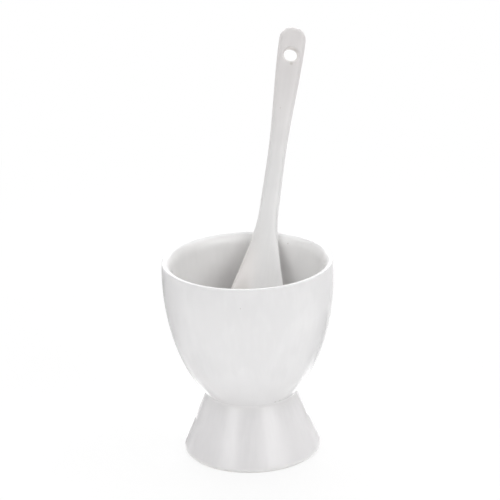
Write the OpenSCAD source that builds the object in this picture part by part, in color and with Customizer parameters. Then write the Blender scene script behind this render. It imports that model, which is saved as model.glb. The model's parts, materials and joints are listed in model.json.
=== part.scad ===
// Egg cup in glazed porcelain: a rounded bowl stuck onto a hollow cone-shaped foot,
// with the egg spoon that stands in it and leans on the rim.
// Lengths are millimetres and angles are degrees. The origin is on the cup's axis, on the table.

/* [Bowl] */
// Height of the rim above the table
cup_h = 59.2; // [56:0.1:66]
// Outside diameter at the bowl's widest level
belly_d = 50.2; // [47:0.2:56]
// Height of the widest level above the table
belly_z = 54.9; // [50:0.1:58]
// Thickness of the side wall, which is also the width of the rounded lip
wall = 2.8; // [2:0.1:3.2]
// Rounding of the lip's outer edge
lip_edge_r = 0.55; // [0.4:0.05:1]
// Depth of the lip's long inner rounding, from the rim down to the inside wall
lip_depth = 3.5; // [2:0.5:5]
// Thickness of the bowl's floor
floor_t = 3; // [2:0.1:5]
// Height over which the inside wall turns into the floor
floor_bend = 6; // [4:0.5:8]

/* [Foot] */
// Height of the crease where the bowl sits on the foot
foot_h = 18.2; // [15:0.1:21]
// Outside diameter of the foot on the table
foot_d = 40.4; // [36:0.2:46]
// Outside diameter at the crease, shared by the bowl's base and the foot's top
neck_d = 26.4; // [23:0.2:30]
// Thickness of the foot's wall, square to its slope
foot_wall = 2.8; // [2.2:0.1:3.6]
// Rounding of the foot's lower outer edge
foot_edge_r = 0.9; // [0.6:0.1:1.6]
// Rounding of the foot's lower inner edge
foot_inner_r = 0.5; // [0.2:0.1:0.8]

/* [Spoon] */
// Length from the tip to the end of the handle
spoon_len = 111.2; // [100:0.1:130]
// Width of the scoop at its widest
scoop_w = 20.4; // [16:0.2:24]
// Distance from the tip to the widest place of the scoop
scoop_wide_at = 14; // [9:0.5:20]
// Depth of the scoop below its edges
scoop_depth = 3.6; // [2:0.2:6]
// Thickness of the scoop's shell
scoop_t = 2.4; // [1.8:0.1:3.2]
// How far the tip rises forward of the handle's line
tip_rise = 1.6; // [0:0.2:3]
// Width of the neck, where the scoop runs out into the handle
neck_w = 5.8; // [5:0.2:8]
// Distance from the tip to the neck
neck_at = 54; // [44:1:60]
// Width of the handle at its narrowest
waist_w = 5.4; // [4.4:0.1:7]
// Distance from the tip to the narrowest place
waist_at = 70; // [64:1:82]
// Width of the handle near its end
handle_w = 8.2; // [7:0.2:11]
// Thickness of the handle
handle_t = 3.6; // [2.8:0.1:4.6]
// Diameter of the hanging hole
hang_d = 4.2; // [3:0.2:5]
// Distance from the end of the handle to the centre of the hanging hole
hang_inset = 9; // [6:0.1:12]

/* [How the spoon stands] */
// Place of the tip on the floor, to the right of the axis
tip_x = -1.8; // [-3:0.1:3]
// Place of the tip on the floor, behind the axis
tip_y = -4; // [-5:0.1:3]
// Where the handle leans on the rim, as a turn to the right from straight back
lean_turn = 16; // [-30:1:30]
// Gap left between the spoon and what it rests on
rest_gap = 0.2; // [0.1:0.05:0.4]

/* [Hidden] */
$fn = 160;
glaze_colour = [0.93, 0.93, 0.93];
spoon_colour = [0.90, 0.90, 0.90];
curve_steps = 26;
lip_steps = 9;
bend_steps = 10;
edge_steps = 6;
ring_steps = 28;
tip_steps = 12;
shaft_steps = 34;
end_steps = 8;
stand_passes = 6;
crossing_steps = 12;
// Shape of the spoon's cross-section: 1 is an oval, and less is a squarer outline
section_round_share = 0.8;
// Length of the rounded front edge of the tip, as a share of the scoop's thickness
tip_edge_share = 0.5;
overrun = 1;

belly_r = belly_d / 2;
neck_r = neck_d / 2;
foot_r = foot_d / 2;
floor_z = foot_h + floor_t;
lip_z = cup_h - lip_edge_r;

// The bowl's side is part of an egg-shaped ellipse that ends on the neck
egg_drop = (belly_z - foot_h) / sqrt(1 - pow(neck_r / belly_r, 2));
function egg_angle(z) = asin((belly_z - z) / egg_drop);
function egg_point(q) = [belly_r * cos(q), belly_z - egg_drop * sin(q)];
function unit(v) = v / norm(v);
function egg_normal(q) = unit([cos(q) / belly_r, -sin(q) / egg_drop]);
function inner_point(q) = egg_point(q) - wall * egg_normal(q);
function arc(centre, r, from, to, steps) =
    [for (i = [0:steps]) centre + r * [cos(from + (to - from) * i / steps), sin(from + (to - from) * i / steps)]];

lip_angle = egg_angle(lip_z);
base_angle = egg_angle(foot_h);
lip_centre = [egg_point(lip_angle).x - lip_edge_r, lip_z];

// The lip is a quarter circle outside, and inside a long quarter ellipse that ends on the inside wall
lip_end_angle = egg_angle(cup_h - lip_depth);
lip_end = inner_point(lip_end_angle);
lip_middle = [lip_centre.x, lip_end.y];
lip_reach = [lip_centre.x - lip_end.x, cup_h - lip_end.y];
function lip_inside(angle) = lip_middle + [lip_reach.x * cos(angle), lip_reach.y * sin(angle)];

// The inside wall follows the outside down to the bend, then turns onto a flat floor
bend_angle = asin((belly_z - floor_z - floor_bend) / (egg_drop - wall));
bend_top = inner_point(bend_angle);
bend_slope = [belly_r * sin(bend_angle), egg_drop * cos(bend_angle)];
bend_corner = bend_top - bend_slope * (bend_top.y - floor_z) / bend_slope.y;
flat_r = max(0, bend_corner.x - norm(bend_top - bend_corner));
bend_end = [flat_r, floor_z];
function bend_point(t) =
    pow(1 - t, 2) * bend_top + 2 * t * (1 - t) * bend_corner + pow(t, 2) * bend_end;

module bowl_outline() {
    outside = [for (i = [0:curve_steps]) egg_point(base_angle + (lip_angle - base_angle) * i / curve_steps)];
    lip_out = arc(lip_centre, lip_edge_r, 0, 90, lip_steps);
    lip_in = [for (i = [1:lip_steps]) lip_inside(90 + 90 * i / lip_steps)];
    inside_turn = bend_angle - lip_end_angle;
    inside = [for (i = [1:curve_steps]) inner_point(lip_end_angle + inside_turn * i / curve_steps)];
    bend = [for (i = [1:bend_steps]) bend_point(i / bend_steps)];
    polygon(concat([[0, foot_h]], outside, lip_out, lip_in, inside, bend, [[0, floor_z]]));
}

module bowl() {
    color(glaze_colour) rotate_extrude() bowl_outline();
}

// The foot is a cone-shaped tube, open below and closed above by the bowl's base
foot_slope = atan2(foot_r - neck_r, foot_h);
foot_wall_across = foot_wall / cos(foot_slope);
foot_hole_r = foot_r - foot_wall_across;

module foot_outline() {
    outer_edge = arc([foot_r - foot_edge_r, foot_edge_r], foot_edge_r, -90, foot_slope, edge_steps);
    inner_edge = arc([foot_hole_r + foot_inner_r, foot_inner_r], foot_inner_r, 180 + foot_slope, 270, edge_steps);
    polygon(concat([[neck_r - foot_wall_across, foot_h]], inner_edge, outer_edge, [[neck_r, foot_h]]));
}

module foot() {
    color(glaze_colour) rotate_extrude() foot_outline();
}

// The spoon lies along +Z from its tip, with its hollow face towards -Y
function ease(from, to, t) = from + (to - from) * t * t * (3 - 2 * t);
function between(s, from, to) = max(0, min(1, (s - from) / (to - from)));
function rounded(t) = sqrt(max(0, 1 - t * t));

end_r = handle_w / 2;
end_at = spoon_len - end_r;
tip_edge = scoop_t * tip_edge_share;
function half_width(s) =
    s < scoop_wide_at ? scoop_w / 2 * rounded(1 - s / scoop_wide_at)
    : s < neck_at ? ease(scoop_w / 2, neck_w / 2, between(s, scoop_wide_at, neck_at))
    : s < waist_at ? ease(neck_w / 2, waist_w / 2, between(s, neck_at, waist_at))
    : ease(waist_w / 2, end_r, between(s, waist_at, end_at)) * rounded(between(s, end_at, spoon_len));
function half_thickness(s) =
    ease(scoop_t, handle_t, between(s, scoop_wide_at, neck_at)) / 2
    * rounded(1 - between(s, 0, tip_edge))
    * rounded(between(s, spoon_len - handle_t / 2, spoon_len));
function scoop_hollow(s) =
    scoop_depth * (s < scoop_wide_at ? sin(90 * s / scoop_wide_at) : 1 - ease(0, 1, between(s, scoop_wide_at, neck_at)));
function spine(s) = -tip_rise * pow(1 - between(s, 0, neck_at), 2);

function squared(c) = sign(c) * pow(abs(c), section_round_share);
function section_point(s, angle) =
    let (across = squared(cos(angle)))
    [half_width(s) * across,
     spine(s) + scoop_hollow(s) * (1 - across * across) + half_thickness(s) * squared(sin(angle)),
     s];

// Stations crowd together at the tip and at the handle's end, where the outline turns
stations = concat(
    [for (i = [1:tip_steps]) scoop_wide_at * (1 - cos(90 * i / tip_steps))],
    [for (i = [1:shaft_steps]) scoop_wide_at + (end_at - scoop_wide_at) * i / shaft_steps],
    [for (i = [1:end_steps - 1]) end_at + end_r * sin(90 * i / end_steps)]);
rings = len(stations);
spoon_skin = concat(
    [for (s = stations, i = [0:ring_steps - 1]) section_point(s, 360 * i / ring_steps)],
    [[0, spine(0), 0], [0, 0, spoon_len]]);
tip_index = rings * ring_steps;
function at(ring, i) = ring * ring_steps + i % ring_steps;
spoon_faces = concat(
    [for (i = [0:ring_steps - 1]) [tip_index, at(0, i), at(0, i + 1)]],
    [for (r = [0:rings - 2], i = [0:ring_steps - 1]) [at(r, i), at(r + 1, i), at(r + 1, i + 1)]],
    [for (r = [0:rings - 2], i = [0:ring_steps - 1]) [at(r, i), at(r + 1, i + 1), at(r, i + 1)]],
    [for (i = [0:ring_steps - 1]) [tip_index + 1, at(rings - 1, i + 1), at(rings - 1, i)]]);

// The spoon's line is found in a few passes: its lowest point stands a gap above the floor,
// and its line is moved in from the rounded lip until the handle's back lies a gap away from it
lean_point = [lip_centre.x * sin(lean_turn), lip_centre.x * cos(lean_turn), lip_centre.y];
lip_along = [cos(lean_turn), -sin(lean_turn), 0];
function lean_back(u) = asin(u.y);
function lean_right(u) = atan2(u.x, u.z);
function spoon_across(u) = [cos(lean_right(u)), 0, -sin(lean_right(u))];
function spoon_behind(u) = cross(u, spoon_across(u));
function turned(u, p) = p.x * spoon_across(u) + p.y * spoon_behind(u) + p.z * u;
function tip_place(u) = [tip_x, tip_y, floor_z + rest_gap - min([for (p = spoon_skin) turned(u, p).z])];

// Sections close together where the handle passes the lip, and their least gap to the lip's inside
function lip_crossing(u) =
    let (middle = norm(lean_point - tip_place(u)))
    [for (i = [-crossing_steps:crossing_steps], k = [0:ring_steps - 1])
        section_point(middle + wall * i / crossing_steps, 360 * k / ring_steps)];
function off_lip(p) =
    let (share = [(p.x - lip_middle.x) / lip_reach.x, (p.y - lip_middle.y) / lip_reach.y])
    norm(share) * (norm(share) - 1) / norm([share.x / lip_reach.x, share.y / lip_reach.y]);
function lip_gap(u) =
    let (place = tip_place(u))
    min([for (p = lip_crossing(u)) let (q = place + turned(u, p)) off_lip([norm([q.x, q.y]), q.z])]);
function lean_line(u, reach) = unit(lean_point - reach * unit(cross(u, lip_along)) - tip_place(u));
function settle(u, reach, passes) =
    passes == 0 ? u
    : let (next = lean_line(u, reach)) settle(next, reach + rest_gap - lip_gap(next), passes - 1);
spoon_line = settle(unit(lean_point - [tip_x, tip_y, floor_z]), (wall + handle_t) / 2, stand_passes);

module stand_spoon() {
    translate(tip_place(spoon_line))
    rotate([-lean_back(spoon_line), lean_right(spoon_line), 0])
    children();
}

module spoon() {
    color(spoon_colour) stand_spoon() difference() {
        polyhedron(points = spoon_skin, faces = spoon_faces, convexity = 4);
        translate([0, 0, spoon_len - hang_inset]) rotate([90, 0, 0])
        cylinder(h = handle_t + 2 * overrun, d = hang_d, center = true);
    }
}

bowl();
foot();
spoon();
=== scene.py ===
"""A white porcelain egg cup with its spoon, on a plain pale floor."""
import json
import math

import bmesh
import bpy
from mathutils import Matrix, Vector


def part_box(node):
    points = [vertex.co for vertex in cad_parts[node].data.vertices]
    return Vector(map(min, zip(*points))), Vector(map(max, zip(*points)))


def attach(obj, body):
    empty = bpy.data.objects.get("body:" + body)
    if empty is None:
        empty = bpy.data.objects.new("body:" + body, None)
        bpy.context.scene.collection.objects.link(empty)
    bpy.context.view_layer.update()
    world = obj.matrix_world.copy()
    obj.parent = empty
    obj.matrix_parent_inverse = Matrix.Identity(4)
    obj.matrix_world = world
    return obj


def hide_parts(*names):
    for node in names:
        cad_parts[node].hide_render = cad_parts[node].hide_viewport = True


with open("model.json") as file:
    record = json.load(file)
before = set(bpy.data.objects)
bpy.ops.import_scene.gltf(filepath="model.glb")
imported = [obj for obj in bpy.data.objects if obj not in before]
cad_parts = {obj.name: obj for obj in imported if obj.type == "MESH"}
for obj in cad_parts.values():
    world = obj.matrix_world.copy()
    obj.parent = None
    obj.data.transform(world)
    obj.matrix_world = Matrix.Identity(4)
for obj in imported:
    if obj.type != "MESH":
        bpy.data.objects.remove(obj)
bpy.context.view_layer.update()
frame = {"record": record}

MM = 0.001

# The cup, in metres. Its rim, crease, belly and foot are read from the frame's boxes.
bowl_low, bowl_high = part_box("bowl")
RIM_Z = bowl_high.z
CREASE_Z = bowl_low.z
BELLY_R = bowl_high.x
FOOT_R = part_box("foot")[1].x
BELLY_Z = 54.9 * MM
WALL = 2.8 * MM
LIP_EDGE_R = 0.55 * MM
LIP_DEPTH = 3.5 * MM
FLOOR_T = 3 * MM
FLOOR_BEND = 6 * MM
NECK_R = 13.2 * MM
FOOT_WALL = 2.8 * MM
FOOT_EDGE_R = 0.9 * MM
FOOT_INNER_R = 0.5 * MM
SLIP_R = 0.9 * MM
# How far the slip's upper end is tucked in behind the bowl's skin: inwards, and down
SLIP_TUCK = (0.6 * MM, 0.1 * MM)

# The bowl's side is part of an ellipse that ends on the neck. EGG_DROP is its half height.
EGG_DROP = (BELLY_Z - CREASE_Z) / math.sqrt(1 - (NECK_R / BELLY_R) ** 2)

# How finely the cup is divided, round its axis and along its outlines. The rings of the floor and
# the base are shares of their radius, and points closer than SAME_PLACE are merged.
TURNS = 160
SIDE_STEPS = 40
LIP_STEPS = 10
LIP_INSIDE_STEPS = 16
FLOOR_BEND_STEPS = 14
FLOOR_RINGS = (0.66, 0.33, 0)
BASE_RINGS = (0, 0.5, 0.9)
CONE_STEPS = 24
SLIP_STEPS = 8
HOLLOW_STEPS = 12
FOOT_EDGE_STEPS = 12
FOOT_INNER_STEPS = 6
SAME_PLACE = 0.001 * MM

# The spoon, measured from its tip along its own line
SPOON_LEN = 111.2 * MM
SCOOP_W = 20.4 * MM
SCOOP_WIDE_AT = 14 * MM
SCOOP_DEPTH = 3.6 * MM
SCOOP_T = 2.4 * MM
TIP_RISE = 1.6 * MM
TIP_EDGE = SCOOP_T / 2
NECK_W = 5.8 * MM
NECK_AT = 54 * MM
WAIST_W = 5.4 * MM
WAIST_AT = 70 * MM
HANDLE_W = 8.2 * MM
HANDLE_T = 3.6 * MM
END_R = HANDLE_W / 2
END_AT = SPOON_LEN - END_R
SECTION_ROUND = 0.8

# The hanging hole. The record's mount gives its radius, and its place and face on the object.
HANG_HOLE = next(m for m in frame["record"]["mounts"] if m["name"] == "hang_hole")
HANG_INSET = 9.0 * MM
HOLE_AT = SPOON_LEN - HANG_INSET
HOLE_R = HANG_HOLE["dims"]["r_mm"] * MM
HOLE_EDGE_R = 0.8 * MM

# Where the spoon's tip stands in the bowl
TIP_X = -1.8 * MM
TIP_Y = -4 * MM

# How finely the spoon is divided, round its line and along it. The patch of its mesh that opens
# for the hole reaches HOLE_CELLS faces each way from the hole's middle.
RING = 48
HOLE_CELLS = 4
TIP_ROWS = 14
SHAFT_ROWS = 40
CAP_ROWS = 10
HOLE_EDGE_ROWS = 5
SPOON_SUBDIVISION = 1

# The camera, as the photograph's outlines give it. The photograph is 500 pixels across.
PHOTO_PX = 500
CAMERA_PX = 2368.65
CAMERA_RANGE = 0.700
CAMERA_RISE = math.radians(22.442)
CAMERA_DIP = math.radians(19.952)
CAMERA_TURN = math.radians(0.076)
CAMERA_ROLL = math.radians(1.65)
CAMERA_LEVEL = 0.0297
CAMERA_NEAR = 0.05
CAMERA_FAR = 20
SENSOR = 36.0

# Base colours of the one white glaze. The bowl's inside is lighter than its outside, as painted light,
# and the foot's side and the whole spoon are darker than the bowl, as painted shade, the spoon's
# handle most. The foot's lighter colour by its lower edge is painted light. The cup's darker tone is
# painted shade; the spoon's darker tone is pooled glaze in its hole and painted shade on its scoop.
BOWL_OUTSIDE = (0.871, 0.864, 0.868)
BOWL_INSIDE_LIT = (0.922, 0.916, 0.909)
FOOT_SIDE_SHADED = (0.845, 0.831, 0.838)
FOOT_EDGE_LIT = (0.930, 0.922, 0.915)
CUP_SHADE = (0.80, 0.79, 0.788)
SPOON_SCOOP = (0.828, 0.822, 0.819)
SPOON_HANDLE_SHADED = (0.740, 0.716, 0.711)
SPOON_POOL_AND_SHADE = (0.74, 0.71, 0.69)
IRON = (0.30, 0.24, 0.17, 1)
SMUDGE = (0.34, 0.31, 0.24, 1)
BARE_CLAY = (0.70, 0.66, 0.60, 1)

# The glazes' gloss. The clouds lower and raise the roughness, the pits add to it, and bare clay
# has its own.
GLAZE_IOR = 1.5
BOWL_ROUGHNESS = 0.13
FOOT_ROUGHNESS = 0.12
SPOON_ROUGHNESS = 0.15
ROUGH_CLOUDS = (-0.025, 0.03)
ROUGH_PITS = 0.25
ROUGH_CLAY = 0.75

# The shared effects. Sizes, spacings, radii and heights are in millimetres.
CLOUD_SIZE = 14.0
CLOUD_TONES = (0.3, 0.7)
WAVE_PER_CLOUD = 1.3
SPECK_SPACING = 6.0
SPECK_R = 0.16
# The kinds of speck: output, share of the spacing, and share of the radius that is solid
SPECK_KINDS = (("Speck", 1.0, 0.6), ("Pit", 0.55, 0.3))
SPECK_STRENGTH = 0.75
CUP_STREAK_SCALE = 14.0
SPOON_STREAK_SCALE = 12.0
# How the place is stretched for the streaks: the height on the cup, and all three on the spoon
AXIS_STRETCH = 12.0
LINE_STRETCH = (90.0, 90.0, 3.0)
PEEL_SCALE = 620.0
# The tone: the clouds' share beside the streaks, the span that it covers, and its two ends
CLOUD_SHARE = 0.3
TONE_SPAN = (0.2, 0.8)
DARKER = 0.975
LIGHTER = 1.012
# The relief
WAVE_HEIGHT = 0.05
STREAK_HEIGHT = 0.008
PEEL_HEIGHT = 0.003
PIT_DEPTH = 0.02

# The small grey marks: middle, radius and strength. The spoon's is placed along its own line.
BOWL_MARKS = (
    ((6.9 * MM, -12.1 * MM, 19.2 * MM), 0.5 * MM, 0.35),
    ((8.3 * MM, -11.4 * MM, 19.1 * MM), 0.5 * MM, 0.4),
)
SPOON_MARKS = (((0.5 * MM, -HANDLE_T / 2, HOLE_AT - 3.0 * MM), 0.7 * MM, 0.3),)

# Painted shade on the bowl: darker up from the crease outside, and darker deeper down inside, below
# the rim
BOWL_CREASE_SHADE = 15.0 * MM
BOWL_CREASE_SHADE_STRENGTH = 0.5
INSIDE_DEPTH_SHADE = (6.0 * MM, 17.0 * MM)
INSIDE_DEPTH_SHADE_STRENGTH = 0.6
# The shares of the wall over which the outside's colour turns into the inside's
WALL_SHARES = (0.3, 0.9)
# The foot: painted shade under the crease, a band of painted light by its lower edge and the ragged
# line of bare clay
FOOT_CREASE_SHADE = 4.0 * MM
FOOT_CREASE_SHADE_STRENGTH = 0.8
LIT_EDGE_BAND = (1.8 * MM, 0.5 * MM)
RAGGED_SCALE = 400.0
RAGGED_HEIGHT = 0.5 * MM
CLAY_EDGE = 0.06 * MM
# The spoon: the glaze's pool in the hole, out from its wall; and painted shade on the scoop's left
# side, along the scoop and towards its left
HOLE_POOL = (0.35 * MM, -0.05 * MM)
SCOOP_SHADE_SPAN = (52.0 * MM, 34.0 * MM)
SCOOP_LEFT_SHADE = (1.0 * MM, -5.0 * MM)
SCOOP_LEFT_SHADE_STRENGTH = 0.85

# The floor. Where it is looked at, FLOOR_LIFT of its colour is plain white, which grows to all of
# it over the distances from the axis in FLOOR_WHITE.
FLOOR_COLOUR = (0.95, 0.95, 0.95, 1)
FLOOR_ROUGHNESS = 0.6
FLOOR_GLOSS = 0.2
FLOOR_HALF = 4
FLOOR_LIFT = 0.8
FLOOR_WHITE = (0.05, 0.30)

# The floor as the glaze mirrors it, a painted reflection on a glowing sheet that only reflections see:
# its sheet, its least and its usual level, and its places of painted light and shade, each with its
# middle, its radii, its edge's softness and its change of level
MIRRORED_HALF = 0.3
MIRRORED_Z = 0.1 * MM
MIRRORED_LEAST = 0.15
FLOOR_LEVEL = 1.05
FLOOR_PLACES = (
    ((-0.078, -0.062), (0.070, 0.080), 0.6, 0.6),
    ((-0.046, -0.010), (0.022, 0.022), 0.6, -0.6),
    ((0.000, -0.024), (0.024, 0.012), 0.6, -0.5),
    ((0.046, -0.008), (0.020, 0.022), 0.6, -0.4),
    ((0.082, -0.070), (0.060, 0.075), 0.5, 0.45),
    ((-0.115, 0.062), (0.080, 0.066), 0.4, -0.75),
    ((-0.085, 0.150), (0.080, 0.040), 0.4, -0.55),
    ((-0.046, 0.072), (0.014, 0.022), 0.5, 0.15),
    ((-0.023, 0.014), (0.007, 0.009), 0.4, 0.4),
    ((-0.025, 0.027), (0.006, 0.006), 0.5, 0.5),
    ((0.066, 0.034), (0.029, 0.033), 0.15, -0.5),
    ((0.038, 0.022), (0.009, 0.010), 0.5, 0.5),
    ((0.025, 0.027), (0.008, 0.007), 0.5, 0.7),
    ((0.025, 0.012), (0.008, 0.010), 0.4, 0.6),
    ((0.120, 0.090), (0.070, 0.060), 0.5, -0.3),
)

# Two small upright cards beside the foot, with their name, side of the cup and level next to the
# foot: glowing sheets that only reflections see, which put painted shade on the foot's outer edges.
# They reach out to the end of CARD_FADE, where they have the floor's level.
CARDS = (("left_card", -1, 0.45), ("right_card", 1, 0.75))
CARD_HEIGHT = 8.5 * MM
CARD_BACK = 3.0 * MM
CARD_GAP = 0.3 * MM
CARD_FADE = (23.0 * MM, 29.0 * MM)

# The level of the white studio as light
WORLD_LEVEL = 0.2

# The lamps: azimuth and elevation in degrees, reach, width and height in metres, and level
SOFTBOXES = (
    ("back_softbox", 180, 34, 1.2, 1.6, 0.8, 2.3),
    ("top_softbox", 180, 88, 1.2, 1.0, 1.0, 1.05),
    ("left_side_softbox", -100, 50, 1.0, 0.6, 0.6, 1.3),
    ("right_side_softbox", 100, 50, 1.0, 0.6, 0.6, 1.9),
)
GRADED_SOFTBOXES = (
    ("left_front_softbox", -43, 23, 1.0, 0.58, 0.5, 1.66),
    ("right_front_softbox", 41, 23, 1.0, 0.76, 0.5, 1.63),
)
# A graded lamp's boxes, each GRADE_STEP in front of the last: share of its size and of its level
GRADES = ((1.35, 0.38), (0.95, 0.35), (0.60, 0.87))
GRADE_STEP = 0.01


# Camera

def make_camera():
    data = bpy.data.cameras.new("camera")
    data.sensor_width = SENSOR
    data.lens = CAMERA_PX * SENSOR / PHOTO_PX
    data.clip_start = CAMERA_NEAR
    data.clip_end = CAMERA_FAR
    camera = bpy.data.objects.new("camera", data)
    bpy.context.collection.objects.link(camera)
    back = math.cos(CAMERA_RISE) * CAMERA_RANGE
    place = Vector((0, -back, CAMERA_LEVEL + math.sin(CAMERA_RISE) * CAMERA_RANGE))
    ahead = Vector((
        math.sin(CAMERA_TURN) * math.cos(CAMERA_DIP),
        math.cos(CAMERA_TURN) * math.cos(CAMERA_DIP),
        -math.sin(CAMERA_DIP),
    ))
    level = ahead.cross(Vector((0, 0, 1))).normalized()
    upright = level.cross(ahead)
    right = level * math.cos(CAMERA_ROLL) - upright * math.sin(CAMERA_ROLL)
    up = level * math.sin(CAMERA_ROLL) + upright * math.cos(CAMERA_ROLL)
    turn = Matrix((right, up, -ahead)).transposed().to_4x4()
    camera.matrix_world = Matrix.Translation(place) @ turn
    bpy.context.scene.camera = camera


# Shapes

def new_object(name, bm):
    """An object at the origin, made of a finished mesh."""
    mesh = bpy.data.meshes.new(name)
    bm.to_mesh(mesh)
    bm.free()
    made = bpy.data.objects.new(name, mesh)
    bpy.context.collection.objects.link(made)
    return made


def new_piece(name, bm, body, node):
    bmesh.ops.recalc_face_normals(bm, faces=bm.faces)
    piece = new_object(name, bm)
    piece.data.shade_smooth()
    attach(piece, body)
    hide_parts(node)
    return piece


def spread(start, end, steps):
    return [start + (end - start) * i / steps for i in range(steps + 1)]


def line(start, end, steps):
    """Points on a straight line, with both its ends."""
    return [
        (start[0] + (end[0] - start[0]) * t, start[1] + (end[1] - start[1]) * t)
        for t in spread(0, 1, steps)
    ]


def arc(centre, radius, start, end, steps):
    """Points on a circle, from one angle to another in degrees."""
    angles = [math.radians(a) for a in spread(start, end, steps)]
    return [(centre[0] + radius * math.cos(a), centre[1] + radius * math.sin(a)) for a in angles]


def spun(points):
    """A closed outline of (radius, height) points, spun about the cup's axis."""
    bm = bmesh.new()
    verts = [bm.verts.new((r, 0, z)) for r, z in points]
    edges = [bm.edges.new(pair) for pair in zip(verts, verts[1:])]
    bmesh.ops.spin(
        bm, geom=verts + edges, cent=(0, 0, 0), axis=(0, 0, 1),
        angle=2 * math.pi, steps=TURNS, use_merge=True,
    )
    bmesh.ops.remove_doubles(bm, verts=bm.verts, dist=SAME_PLACE)
    return bm


def egg_angle(z):
    return math.asin((BELLY_Z - z) / EGG_DROP)


def egg_point(q):
    return Vector((BELLY_R * math.cos(q), BELLY_Z - EGG_DROP * math.sin(q)))


def egg_slope(q):
    """Along the egg's side, upwards and outwards."""
    return Vector((BELLY_R * math.sin(q), EGG_DROP * math.cos(q)))


def egg_normal(q):
    return Vector((math.cos(q) / BELLY_R, -math.sin(q) / EGG_DROP)).normalized()


def inner_point(q):
    return egg_point(q) - WALL * egg_normal(q)


def bowl_outline():
    """The bowl from its base's middle, up outside, over the lip and down inside to its floor."""
    floor_z = CREASE_Z + FLOOR_T
    lip_z = RIM_Z - LIP_EDGE_R
    lip_angle = egg_angle(lip_z)
    outside = [tuple(egg_point(q)) for q in spread(egg_angle(CREASE_Z), lip_angle, SIDE_STEPS)]
    lip_x = egg_point(lip_angle).x - LIP_EDGE_R
    lip_out = arc((lip_x, lip_z), LIP_EDGE_R, 0, 90, LIP_STEPS)[1:]
    end_angle = egg_angle(RIM_Z - LIP_DEPTH)
    end = inner_point(end_angle)
    lip_in = [
        (lip_x - (lip_x - end.x) * math.sin(a), end.y + (RIM_Z - end.y) * math.cos(a))
        for a in spread(0, math.pi / 2, LIP_INSIDE_STEPS)[1:]
    ]
    bend_angle = math.asin((BELLY_Z - floor_z - FLOOR_BEND) / (EGG_DROP - WALL))
    inside = [tuple(inner_point(q)) for q in spread(end_angle, bend_angle, SIDE_STEPS)[1:]]
    top = inner_point(bend_angle)
    slope = egg_slope(bend_angle)
    corner = top - slope * (top.y - floor_z) / slope.y
    flat = Vector((corner.x - (top - corner).length, floor_z))
    bend = [
        tuple((1 - t) ** 2 * top + 2 * t * (1 - t) * corner + t * t * flat)
        for t in spread(0, 1, FLOOR_BEND_STEPS)[1:]
    ]
    floor = [(flat.x * share, floor_z) for share in FLOOR_RINGS]
    base = [(NECK_R * share, CREASE_Z) for share in BASE_RINGS]
    return base + outside + lip_out + lip_in + inside + bend + floor


def slip_fillet():
    """The soft blend of slip in the crease, tangent to the foot's cone and to the bowl's side."""
    cone = Vector((NECK_R - FOOT_R, CREASE_Z)).normalized()
    side = egg_slope(egg_angle(CREASE_Z)).normalized()
    corner = Vector((NECK_R, CREASE_Z))
    half = math.acos((-cone).dot(side)) / 2
    reach = SLIP_R / math.tan(half)
    centre = corner + (side - cone).normalized() * SLIP_R / math.sin(half)
    ends = [point - centre for point in (corner - cone * reach, corner + side * reach)]
    start, end = (math.degrees(math.atan2(off.y, off.x)) % 360 for off in ends)
    return arc(tuple(centre), SLIP_R, start, end, SLIP_STEPS)


def foot_outline():
    """The foot from its hollow's top, down inside, round its edge and up the cone to the slip."""
    slope = math.atan2(FOOT_R - NECK_R, CREASE_Z)
    lean = math.degrees(slope)
    across = FOOT_WALL / math.cos(slope)
    inner_middle = (FOOT_R - across + FOOT_INNER_R, FOOT_INNER_R)
    inner_edge = arc(inner_middle, FOOT_INNER_R, 180 + lean, 270, FOOT_INNER_STEPS)
    outer_middle = (FOOT_R - FOOT_EDGE_R, FOOT_EDGE_R)
    outer_edge = arc(outer_middle, FOOT_EDGE_R, -90, lean, FOOT_EDGE_STEPS)
    fillet = slip_fillet()
    cone = line(outer_edge[-1], fillet[0], CONE_STEPS)[1:-1]
    hollow_top = (NECK_R - across, CREASE_Z)
    hollow = line(hollow_top, inner_edge[0], HOLLOW_STEPS)[:-1]
    tucked = (fillet[-1][0] - SLIP_TUCK[0], fillet[-1][1] - SLIP_TUCK[1])
    seat = (NECK_R - SLIP_TUCK[0], CREASE_Z)
    return hollow + inner_edge + outer_edge + cone + fillet + [tucked, seat, hollow_top]


def make_bowl():
    return new_piece("porcelain_bowl", spun(bowl_outline()), "cup", "bowl")


def make_foot():
    return new_piece("porcelain_foot", spun(foot_outline()), "cup", "foot")


# The spoon is shaped along its own line, with its hollow face towards -Y, then stood in the bowl

def ease(start, end, t):
    return start + (end - start) * t * t * (3 - 2 * t)


def between(s, start, end):
    return max(0, min(1, (s - start) / (end - start)))


def rounded(t):
    return math.sqrt(max(0, 1 - t * t))


def half_width(s):
    if s < SCOOP_WIDE_AT:
        return SCOOP_W / 2 * rounded(1 - s / SCOOP_WIDE_AT)
    if s < NECK_AT:
        return ease(SCOOP_W / 2, NECK_W / 2, between(s, SCOOP_WIDE_AT, NECK_AT))
    if s < WAIST_AT:
        return ease(NECK_W / 2, WAIST_W / 2, between(s, NECK_AT, WAIST_AT))
    handle = ease(WAIST_W / 2, END_R, between(s, WAIST_AT, END_AT))
    return handle * rounded(between(s, END_AT, SPOON_LEN))


def half_thickness(s):
    body = ease(SCOOP_T, HANDLE_T, between(s, SCOOP_WIDE_AT, NECK_AT)) / 2
    tip = rounded(1 - between(s, 0, TIP_EDGE))
    end = rounded(between(s, SPOON_LEN - HANDLE_T / 2, SPOON_LEN))
    return body * tip * end


def scoop_hollow(s):
    if s < SCOOP_WIDE_AT:
        return SCOOP_DEPTH * math.sin(math.pi / 2 * s / SCOOP_WIDE_AT)
    return SCOOP_DEPTH * (1 - ease(0, 1, between(s, SCOOP_WIDE_AT, NECK_AT)))


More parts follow.
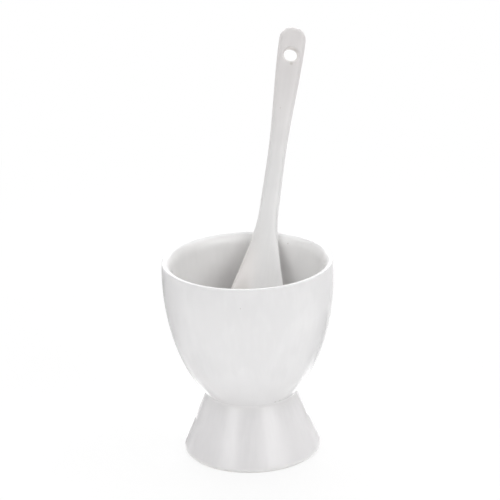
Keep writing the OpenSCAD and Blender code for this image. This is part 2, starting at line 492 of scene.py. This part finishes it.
def spine(s):
    return -TIP_RISE * (1 - between(s, 0, NECK_AT)) ** 2


def squared(c):
    return math.copysign(abs(c) ** SECTION_ROUND, c)


def skin_point(x, s, side):
    """The point of the spoon's skin at x and s: side is -1 on the hollow face and 1 on the back."""
    width = half_width(s)
    share = min(1, abs(x) / width) if width > 0 else 0
    swell = (1 - share ** (2 / SECTION_ROUND)) ** (SECTION_ROUND / 2)
    y = spine(s) + scoop_hollow(s) * (1 - share * share) + side * half_thickness(s) * swell
    return Vector((x, y, s))


def opened(x, s):
    """Moves a place near the hanging hole out, so that the square patch there becomes a circle."""
    cell = END_R * squared(math.cos(math.pi / 2 - 2 * math.pi * HOLE_CELLS / RING))
    off = s - HOLE_AT
    rank = max(abs(x), abs(off)) / cell
    span = END_R / cell
    far = math.hypot(x, off)
    if far == 0 or rank >= span:
        return x, s
    circle = (HOLE_R + HOLE_EDGE_R) * rank / far
    weight = 1 if rank <= 1 else ease(1, 0, between(rank, 1, span))
    grow = 1 + (circle - 1) * weight
    return x * grow, HOLE_AT + off * grow


def spoon_stations():
    """Where the spoon's rings lie along its line."""
    turns = [math.pi / 2 * i / TIP_ROWS for i in range(1, TIP_ROWS + 1)]
    tip = [SCOOP_WIDE_AT * (1 - math.cos(turn)) for turn in turns]
    quarter = RING // 4
    rows = [END_R * squared(math.sin(math.pi / 2 * i / quarter)) for i in range(quarter + 1)]
    hole = sorted({HOLE_AT + row for row in rows} | {HOLE_AT - row for row in rows})
    shaft = spread(SCOOP_WIDE_AT, hole[0], SHAFT_ROWS)[1:-1]
    cap = [END_AT + END_R * math.sin(math.pi / 2 * i / CAP_ROWS) for i in range(1, CAP_ROWS)]
    return tip + shaft + hole + cap


def extruded(bm, edges):
    """The new vertices, and the new edges between them, of a loop of edges extruded in place."""
    made = bmesh.ops.extrude_edge_only(bm, edges=edges)["geom"]
    verts = [g for g in made if isinstance(g, bmesh.types.BMVert)]
    loop = [g for g in made if isinstance(g, bmesh.types.BMEdge) and all(v in verts for v in g.verts)]
    return verts, loop


def ring_edges(bm, ring):
    return [bm.edges.get((ring[i], ring[i - 1])) for i in range(RING)]


def next_ring(bm, ring):
    """Extrudes a ring, and gives the new one in the same order."""
    above = {}
    for v in extruded(bm, ring_edges(bm, ring))[0]:
        for edge in v.link_edges:
            if edge.other_vert(v) in ring:
                above[edge.other_vert(v)] = v
    return [above[v] for v in ring]


def make_spoon():
    bm = bmesh.new()
    stations = spoon_stations()
    angles = [2 * math.pi * i / RING for i in range(RING)]
    ring = bmesh.ops.create_circle(bm, segments=RING, radius=1)["verts"]
    rings = []
    for s in stations:
        if rings:
            ring = next_ring(bm, ring)
        for v, a in zip(ring, angles):
            x, along = opened(half_width(s) * squared(math.cos(a)), s)
            side = 1 if math.sin(a) > 0 else -1
            v.co = skin_point(x, along, side)
        rings.append(ring)
    for end, s in ((rings[0], 0), (rings[-1], SPOON_LEN)):
        pole = extruded(bm, ring_edges(bm, end))[0]
        bmesh.ops.pointmerge(bm, verts=pole, merge_co=(0, spine(s), s))
    pierce(bm, rings, stations)
    bmesh.ops.transform(bm, matrix=spoon_stand(), verts=bm.verts)
    spoon = new_piece("porcelain_spoon", bm, "spoon", "spoon")
    smooth = spoon.modifiers.new("smooth", "SUBSURF")
    smooth.levels = SPOON_SUBDIVISION
    smooth.render_levels = SPOON_SUBDIVISION
    return spoon


def pierce(bm, rings, stations):
    """Opens the hanging hole: the square patches go, and rings with a rounded edge lead through."""
    middle = min(range(len(stations)), key=lambda i: abs(stations[i] - HOLE_AT))
    near = range(-HOLE_CELLS, HOLE_CELLS + 1)
    mouths = []
    for side, column in ((-1, RING * 3 // 4), (1, RING // 4)):
        patch = {rings[middle + r][(column + c) % RING] for r in near for c in near}
        faces = [f for f in bm.faces if all(v in patch for v in f.verts)]
        loop = [e for f in faces for e in f.edges if sum(g in faces for g in e.link_faces) == 1]
        bmesh.ops.delete(bm, geom=faces, context="FACES")
        for row in range(1, HOLE_EDGE_ROWS + 1):
            turn = math.pi / 2 * row / HOLE_EDGE_ROWS
            verts, loop = extruded(bm, loop)
            for v in verts:
                out = Vector((v.co.x, v.co.z - HOLE_AT)).normalized()
                rim = out * (HOLE_R + HOLE_EDGE_R)
                skin = skin_point(rim.x, HOLE_AT + rim.y, side).y
                place = out * (HOLE_R + HOLE_EDGE_R * (1 - math.sin(turn)))
                sunk = side * HOLE_EDGE_R * (1 - math.cos(turn))
                v.co = Vector((place.x, skin - sunk, HOLE_AT + place.y))
        mouths += loop
    bmesh.ops.bridge_loops(bm, edges=mouths)


def spoon_stand():
    """Stands the spoon as the frame does, by the mount's place and face and the tip's place."""
    hole = Vector(HANG_HOLE["pos_m"])
    out = Vector(HANG_HOLE["axis"]).normalized()
    rise = (out.x * (hole.x - TIP_X) + out.y * (hole.y - TIP_Y)) / out.z
    tip = Vector((TIP_X, TIP_Y, hole.z + rise))
    up_spoon = (hole - tip).normalized()
    behind = -out
    across = behind.cross(up_spoon)
    return Matrix.Translation(tip) @ Matrix((across, behind, up_spoon)).transposed().to_4x4()


# Finishes

def add(tree, kind, inputs=None, **settings):
    """A node with its settings made, and its inputs set or linked."""
    made = tree.nodes.new(kind)
    for key, value in settings.items():
        setattr(made, key, value)
    for key, value in (inputs or {}).items():
        if isinstance(value, bpy.types.NodeSocket):
            tree.links.new(value, made.inputs[key])
        else:
            made.inputs[key].default_value = value
    return made


def sums(tree, operation, first, second):
    return add(tree, "ShaderNodeMath", {0: first, 1: second}, operation=operation).outputs[0]


def times(tree, first, second):
    return sums(tree, "MULTIPLY", first, second)


def fade(tree, value, start, end, low=0.0, high=1.0):
    """Goes smoothly from low to high as the value goes from start to end."""
    inputs = {0: value, 1: start, 2: end, 3: low, 4: high}
    return add(tree, "ShaderNodeMapRange", inputs, interpolation_type="SMOOTHSTEP").outputs[0]


def vectors(tree, operation, inputs, output="Vector"):
    return add(tree, "ShaderNodeVectorMath", inputs, operation=operation).outputs[output]


def blend_colours(tree, share, first, second):
    mix = add(tree, "ShaderNodeMix", {0: share, 6: first, 7: second}, data_type="RGBA")
    return mix.outputs[2]


def noise(tree, vector, scale, detail):
    inputs = {"Vector": vector, "Scale": scale, "Detail": detail}
    return add(tree, "ShaderNodeTexNoise", inputs).outputs[0]


def new_group(name, inputs, outputs):
    """A group that takes a vector and the named numbers or places, and puts out values."""
    group = bpy.data.node_groups.new(name, "ShaderNodeTree")
    group.interface.new_socket("Vector", in_out="INPUT", socket_type="NodeSocketVector")
    for label, kind, value in inputs:
        socket = group.interface.new_socket(label, in_out="INPUT", socket_type=kind)
        if value is not None:
            socket.default_value = value
    for label in outputs:
        group.interface.new_socket(label, in_out="OUTPUT", socket_type="NodeSocketFloat")
    given = group.nodes.new("NodeGroupInput").outputs
    return group, given, group.nodes.new("NodeGroupOutput").inputs


def placed(tree, group, inputs):
    return add(tree, "ShaderNodeGroup", inputs, node_tree=group).outputs


def make_clouds():
    """The glaze's broad uneven tone and its long soft waves."""
    group, given, out = new_group(
        "glaze_clouds", [("Size", "NodeSocketFloat", CLOUD_SIZE)], ["Tone", "Wave"],
    )
    scale = sums(group, "DIVIDE", 1.0 / MM, given["Size"])
    tone = fade(group, noise(group, given["Vector"], scale, 2.0), *CLOUD_TONES, -1.0, 1.0)
    wave = noise(group, given["Vector"], times(group, scale, WAVE_PER_CLOUD), 0.0)
    group.links.new(tone, out["Tone"])
    group.links.new(wave, out["Wave"])
    return group


def make_specks():
    """Iron specks and pinholes: Speck and Pit are 1 on the few that there are."""
    group, given, out = new_group("glaze_specks", [
        ("Spacing", "NodeSocketFloat", SPECK_SPACING),
        ("Radius", "NodeSocketFloat", SPECK_R),
    ], [label for label, _, _ in SPECK_KINDS])
    for label, shrink, edge in SPECK_KINDS:
        spacing = times(group, given["Spacing"], shrink)
        scale = sums(group, "DIVIDE", 1.0 / MM, spacing)
        cells = add(group, "ShaderNodeTexVoronoi", {"Vector": given["Vector"], "Scale": scale})
        far = times(group, cells.outputs["Distance"], spacing)
        share = sums(group, "DIVIDE", far, given["Radius"])
        group.links.new(fade(group, share, 1.0, edge), out[label])
    return group


def make_streaks():
    """Fine streaks along the vector's Z, as wiping and pouring leave them, and the gloss's peel."""
    group, given, out = new_group(
        "glaze_streaks", [("Fine", "NodeSocketFloat", CUP_STREAK_SCALE)], ["Streak", "Peel"],
    )
    place = add(group, "ShaderNodeTexCoord").outputs["Object"]
    group.links.new(noise(group, given["Vector"], given["Fine"], 3.0), out["Streak"])
    group.links.new(noise(group, place, PEEL_SCALE, 1.0), out["Peel"])
    return group


def make_mark():
    """One small mark in the glaze: Mask is 1 at its middle."""
    group, given, out = new_group("glaze_mark", [
        ("Middle", "NodeSocketVector", None),
        ("Radius", "NodeSocketFloat", 0.4 * MM),
    ], ["Mask"])
    far = vectors(group, "DISTANCE", {0: given["Vector"], 1: given["Middle"]}, "Value")
    share = sums(group, "DIVIDE", far, given["Radius"])
    group.links.new(fade(group, share, 1.0, 0.3), out["Mask"])
    return group


def marked(tree, place, marks):
    """The mask of a few small marks."""
    mask = 0.0
    for middle, radius, strength in marks:
        spot = placed(tree, MARK, {"Vector": place, "Middle": middle, "Radius": radius})["Mask"]
        mask = sums(tree, "MAXIMUM", times(tree, spot, strength), mask)
    return mask


def parts_of(tree, vector):
    return add(tree, "ShaderNodeSeparateXYZ", {0: vector}).outputs


def off_axis(tree, parts):
    """The level part of a place, out from the cup's axis."""
    return add(tree, "ShaderNodeCombineXYZ", {0: parts[0], 1: parts[1]}).outputs[0]


def around_axis(tree, place):
    """Turns a place into its direction from the cup's axis, with its stretched height on Z."""
    parts = parts_of(tree, place)
    turned = vectors(tree, "NORMALIZE", {0: off_axis(tree, parts)})
    height = times(tree, parts[2], AXIS_STRETCH)
    up = add(tree, "ShaderNodeCombineXYZ", {2: height}).outputs[0]
    return vectors(tree, "ADD", {0: turned, 1: up})


def new_glaze(name):
    """A glossy material, with the place on its piece that its effects read."""
    material = bpy.data.materials.new(name)
    material.use_nodes = True
    tree = material.node_tree
    shader = tree.nodes["Principled BSDF"]
    shader.inputs["IOR"].default_value = GLAZE_IOR
    place = add(tree, "ShaderNodeTexCoord").outputs["Object"]
    return material, tree, shader, place


def finish_glaze(tree, shader, place, along, body, pool_and_shade_colour, pool_and_shade, bare, marks, roughness, fine):
    """Joins the shared effects. body is two colours and the mask from the first to the second.

    The three masks are pooled glaze and painted shade, with its own colour, clay with none, and small
    dark marks.
    """
    clouds = placed(tree, CLOUDS, {"Vector": place})
    specks = placed(tree, SPECKS, {"Vector": place})
    streaks = placed(tree, STREAKS, {"Vector": along, "Fine": fine})
    tone = sums(tree, "ADD", times(tree, clouds["Tone"], CLOUD_SHARE), streaks["Streak"])
    tone = fade(tree, tone, *TONE_SPAN)
    first, second = (
        blend_colours(tree, tone, (*(c * DARKER for c in one), 1), (*(c * LIGHTER for c in one), 1))
        for one in body[:2]
    )
    colour = blend_colours(tree, body[2], first, second)
    colour = blend_colours(tree, pool_and_shade, colour, (*pool_and_shade_colour, 1))
    colour = blend_colours(tree, times(tree, specks["Speck"], SPECK_STRENGTH), colour, IRON)
    colour = blend_colours(tree, marks, colour, SMUDGE)
    colour = blend_colours(tree, bare, colour, BARE_CLAY)
    tree.links.new(colour, shader.inputs["Base Color"])
    least, most = (roughness + change for change in ROUGH_CLOUDS)
    gloss = fade(tree, clouds["Tone"], -1.0, 1.0, least, most)
    gloss = sums(tree, "ADD", gloss, times(tree, specks["Pit"], ROUGH_PITS))
    gloss = sums(tree, "MAXIMUM", gloss, times(tree, bare, ROUGH_CLAY))
    tree.links.new(gloss, shader.inputs["Roughness"])
    height = times(tree, clouds["Wave"], WAVE_HEIGHT)
    height = sums(tree, "ADD", height, times(tree, streaks["Streak"], STREAK_HEIGHT))
    height = sums(tree, "ADD", height, times(tree, streaks["Peel"], PEEL_HEIGHT))
    height = sums(tree, "SUBTRACT", height, times(tree, specks["Pit"], PIT_DEPTH))
    bump = add(tree, "ShaderNodeBump", {"Height": height, "Distance": MM, "Strength": 1.0})
    tree.links.new(bump.outputs[0], shader.inputs["Normal"])


def in_the_bowl(tree, parts):
    """A mask that is 1 on the bowl's inside: the depth in from the egg shape, set against the wall."""
    radius = vectors(tree, "LENGTH", {0: off_axis(tree, parts)}, "Value")
    drop = sums(tree, "DIVIDE", sums(tree, "SUBTRACT", BELLY_Z, parts[2]), EGG_DROP)
    share = sums(tree, "SUBTRACT", 1.0, times(tree, drop, drop))
    outside = times(tree, sums(tree, "POWER", share, 0.5), BELLY_R)
    depth = sums(tree, "SUBTRACT", outside, radius)
    return fade(tree, depth, *(WALL * share for share in WALL_SHARES))


def make_cup_glaze():
    material, tree, shader, place = new_glaze("cup_glaze")
    parts = parts_of(tree, place)
    inside = in_the_bowl(tree, parts)
    # Painted shade, darker up from the crease on the outside
    pool_and_shade = fade(tree, parts[2], CREASE_Z + BOWL_CREASE_SHADE, CREASE_Z, 0.0, BOWL_CREASE_SHADE_STRENGTH)
    pool_and_shade = times(tree, pool_and_shade, sums(tree, "SUBTRACT", 1.0, inside))
    # Painted shade, darker deeper inside the bowl
    top, bottom = (RIM_Z - down for down in INSIDE_DEPTH_SHADE)
    depth = fade(tree, parts[2], top, bottom, 0.0, INSIDE_DEPTH_SHADE_STRENGTH)
    pool_and_shade = sums(tree, "ADD", pool_and_shade, times(tree, depth, inside))
    # The inside's lighter colour is painted light; the darker tone is painted shade.
    finish_glaze(
        tree, shader, place, around_axis(tree, place),
        body=(BOWL_OUTSIDE, BOWL_INSIDE_LIT, inside), pool_and_shade_colour=CUP_SHADE, pool_and_shade=pool_and_shade, bare=0.0,
        marks=marked(tree, place, BOWL_MARKS), roughness=BOWL_ROUGHNESS, fine=CUP_STREAK_SCALE,
    )
    return material


def make_foot_glaze():
    material, tree, shader, place = new_glaze("foot_glaze")
    height = parts_of(tree, place)[2]
    # Painted shade, darker under the crease
    pool_and_shade = fade(tree, height, CREASE_Z - FOOT_CREASE_SHADE, CREASE_Z, 0.0, FOOT_CREASE_SHADE_STRENGTH)
    ragged = add(tree, "ShaderNodeTexNoise", {"Vector": place, "Scale": RAGGED_SCALE}).outputs[0]
    edge = times(tree, ragged, RAGGED_HEIGHT)
    bare = fade(tree, sums(tree, "SUBTRACT", height, edge), CLAY_EDGE, 0.0)
    # Painted light: a lighter band by the foot's lower edge
    lit_edge = fade(tree, height, *LIT_EDGE_BAND)
    # The foot's side is darker than the bowl, as painted shade.
    finish_glaze(
        tree, shader, place, around_axis(tree, place),
        body=(FOOT_SIDE_SHADED, FOOT_EDGE_LIT, lit_edge), pool_and_shade_colour=CUP_SHADE, pool_and_shade=pool_and_shade, bare=bare,
        marks=0.0, roughness=FOOT_ROUGHNESS, fine=CUP_STREAK_SCALE,
    )
    return material


def make_spoon_glaze():
    """The spoon's glaze, whose effects read the place along the spoon's own line."""
    material, tree, shader, place = new_glaze("spoon_glaze")
    stand = spoon_stand()
    own = add(tree, "ShaderNodeMapping", {
        "Vector": place, "Location": stand.to_translation(), "Rotation": stand.to_euler(),
    }, vector_type="TEXTURE").outputs[0]
    along = add(tree, "ShaderNodeMapping", {"Vector": own, "Scale": LINE_STRETCH}).outputs[0]
    parts = parts_of(tree, own)
    face = add(tree, "ShaderNodeCombineXYZ", {0: parts[0], 2: parts[2]}).outputs[0]
    far = vectors(tree, "DISTANCE", {0: face, 1: (0, 0, HOLE_AT)}, "Value")
    pool_and_shade = fade(tree, far, *(HOLE_R + out for out in HOLE_POOL))
    # Painted shade on the scoop's left side
    hollow = fade(tree, parts[2], *SCOOP_SHADE_SPAN)
    left_shade = fade(tree, parts[0], *SCOOP_LEFT_SHADE, 0.0, SCOOP_LEFT_SHADE_STRENGTH)
    pool_and_shade = sums(tree, "MAXIMUM", pool_and_shade, times(tree, hollow, left_shade))
    # Painted shade: the spoon is darker than the bowl, and darker still from the neck to the hole
    handle_shade = fade(tree, parts[2], NECK_AT, HOLE_AT)
    finish_glaze(
        tree, shader, place, along,
        body=(SPOON_SCOOP, SPOON_HANDLE_SHADED, handle_shade), pool_and_shade_colour=SPOON_POOL_AND_SHADE, pool_and_shade=pool_and_shade, bare=0.0,
        marks=marked(tree, own, SPOON_MARKS), roughness=SPOON_ROUGHNESS, fine=SPOON_STREAK_SCALE,
    )
    return material


# Stage

def flat_sheet(name, half, height):
    bm = bmesh.new()
    bmesh.ops.create_grid(bm, x_segments=1, y_segments=1, size=half)
    bmesh.ops.translate(bm, vec=(0, 0, height), verts=bm.verts)
    sheet = new_object(name, bm)
    return sheet


def shown_to(tree):
    """1 where the camera, a reflection or glass looks, and 0 for light that falls on the object."""
    path = add(tree, "ShaderNodeLightPath").outputs
    seen = sums(tree, "MAXIMUM", path["Is Camera Ray"], path["Is Glossy Ray"])
    return sums(tree, "MAXIMUM", seen, path["Is Transmission Ray"])


def make_floor():
    """A pale floor with the shadow on it, which is seen to turn white further away."""
    floor = flat_sheet("floor", FLOOR_HALF, 0)
    material = bpy.data.materials.new("pale_floor")
    material.use_nodes = True
    tree = material.node_tree
    shader = tree.nodes["Principled BSDF"]
    shader.inputs["Base Color"].default_value = FLOOR_COLOUR
    shader.inputs["Roughness"].default_value = FLOOR_ROUGHNESS
    shader.inputs["Specular IOR Level"].default_value = FLOOR_GLOSS
    white = add(tree, "ShaderNodeEmission", {"Color": (1, 1, 1, 1), "Strength": 1.0})
    place = add(tree, "ShaderNodeTexCoord").outputs["Object"]
    far = vectors(tree, "LENGTH", {0: place}, "Value")
    lift = times(tree, shown_to(tree), fade(tree, far, *FLOOR_WHITE, FLOOR_LIFT, 1.0))
    mixed = add(tree, "ShaderNodeMixShader", {0: lift, 1: shader.outputs[0], 2: white.outputs[0]})
    tree.links.new(mixed.outputs[0], tree.nodes["Material Output"].inputs["Surface"])
    floor.data.materials.append(material)


def only_mirrored(sheet, name):
    """Leaves a sheet to reflections alone, and gives it a glow whose level is still to be set."""
    for ray in ("camera", "diffuse", "shadow", "transmission", "volume_scatter"):
        setattr(sheet, "visible_" + ray, False)
    material = bpy.data.materials.new(name)
    material.use_nodes = True
    tree = material.node_tree
    tree.nodes.remove(tree.nodes["Principled BSDF"])
    sheet.data.materials.append(material)
    glow = add(tree, "ShaderNodeEmission")
    tree.links.new(glow.outputs[0], tree.nodes["Material Output"].inputs["Surface"])
    return tree, add(tree, "ShaderNodeTexCoord").outputs["Object"], glow.inputs["Strength"]


def make_mirrored_floor():
    """The floor as the glaze mirrors it: a painted reflection, with painted light and shade."""
    sheet = flat_sheet("mirrored_floor", MIRRORED_HALF, MIRRORED_Z)
    tree, place, strength = only_mirrored(sheet, "floor_in_the_glaze")
    level = FLOOR_LEVEL
    for (x, y), (across, deep), edge, change in FLOOR_PLACES:
        spot = add(tree, "ShaderNodeMapping", {
            "Vector": place, "Location": (x, y, 0), "Scale": (across, deep, 1),
        }, vector_type="TEXTURE").outputs[0]
        far = vectors(tree, "LENGTH", {0: spot}, "Value")
        level = sums(tree, "ADD", fade(tree, far, 1 + edge, 1 - edge, 0.0, change), level)
    tree.links.new(sums(tree, "MAXIMUM", level, MIRRORED_LEAST), strength)


def make_cards():
    """The cards that put painted shade on the foot's outer edges in its glaze, each cut to the foot's
    slope.
    """
    lean = (FOOT_R - NECK_R) / CREASE_Z
    for name, side, near in CARDS:
        card = flat_sheet(name, 1, 0)
        for corner in card.data.vertices:
            z = CARD_HEIGHT if corner.co.y > 0 else 0.0
            x = CARD_FADE[1] if corner.co.x > 0 else FOOT_R + CARD_GAP - lean * z
            corner.co = (side * x, CARD_BACK, z)
        tree, place, strength = only_mirrored(card, name + "_in_the_glaze")
        off = times(tree, parts_of(tree, place)[0], side)
        tree.links.new(fade(tree, off, *CARD_FADE, near, FLOOR_LEVEL), strength)


def make_world():
    """White where the camera, a reflection or glass sees it, and dimmer as light."""
    world = bpy.data.worlds.new("studio")
    bpy.context.scene.world = world
    world.use_nodes = True
    tree = world.node_tree
    background = tree.nodes["Background"]
    levels = {"Value": shown_to(tree), "To Min": WORLD_LEVEL, "To Max": 1.0}
    level = add(tree, "ShaderNodeMapRange", levels).outputs[0]
    tree.links.new(level, background.inputs["Strength"])
    background.inputs["Color"].default_value = (1, 1, 1, 1)


def softbox(name, azimuth, elevation, reach, width, height, level):
    """A soft area lamp that faces the cup. level is how bright its face looks."""
    data = bpy.data.lights.new(name, "AREA")
    data.shape = "RECTANGLE"
    data.size = width
    data.size_y = height
    data.energy = level * math.pi * width * height
    lamp = bpy.data.objects.new(name, data)
    bpy.context.collection.objects.link(lamp)
    a, e = math.radians(azimuth), math.radians(elevation)
    away = Vector((math.sin(a) * math.cos(e), -math.cos(a) * math.cos(e), math.sin(e)))
    lamp.location = Vector((0, 0, RIM_Z / 2)) + away * reach
    lamp.rotation_mode = "QUATERNION"
    lamp.rotation_quaternion = away.to_track_quat("Z", "Y")


def make_lamps():
    """The plain lamps, and the graded ones, whose light falls off towards their edges."""
    for lamp in SOFTBOXES:
        softbox(*lamp)
    for name, azimuth, elevation, reach, width, height, level in GRADED_SOFTBOXES:
        for number, (grow, share) in enumerate(GRADES):
            softbox(
                name + "_" + str(number), azimuth, elevation, reach - GRADE_STEP * number,
                width * grow, height * grow, level * share,
            )


make_camera()
CLOUDS = make_clouds()
SPECKS = make_specks()
STREAKS = make_streaks()
MARK = make_mark()
make_bowl().data.materials.append(make_cup_glaze())
make_foot().data.materials.append(make_foot_glaze())
make_spoon().data.materials.append(make_spoon_glaze())
make_floor()
make_mirrored_floor()
make_cards()
make_world()
make_lamps()

bpy.context.scene.view_settings.view_transform = "Standard"
